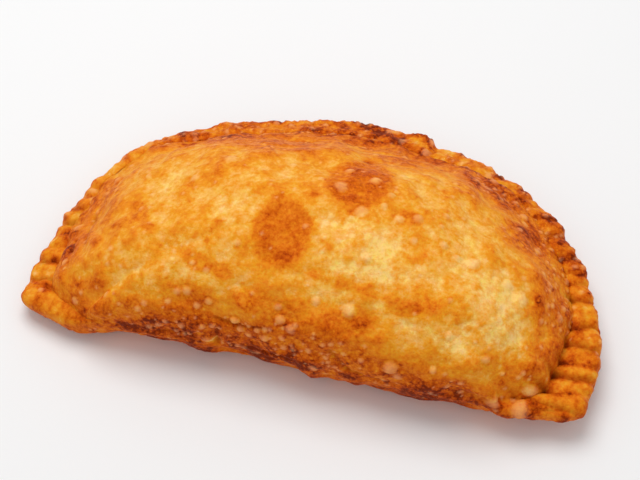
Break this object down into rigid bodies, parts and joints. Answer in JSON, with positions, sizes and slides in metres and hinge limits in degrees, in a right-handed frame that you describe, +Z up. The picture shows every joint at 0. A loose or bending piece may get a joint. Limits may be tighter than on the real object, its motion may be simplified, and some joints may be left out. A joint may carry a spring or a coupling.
{
  "type": "empanada",
  "caption": "Half-moon fried pastry with a puffed, filled body, a rounded folded front edge and a crimped rim along its curved back, lying on its flat underside.",
  "frame": {"origin": "bottom centre of the bounding box, on the surface that the pastry rests on", "axes": "+X along the folded edge, +Y from the folded edge towards the crimped rim, +Z up"},
  "size_m": [0.146, 0.078, 0.036],
  "materials": {
    "crust": "golden fried dough, uneven brown patches, slightly oily"
  },
  "bodies": {
    "root": {"empanada": "crust"}
  },
  "joints": []
}
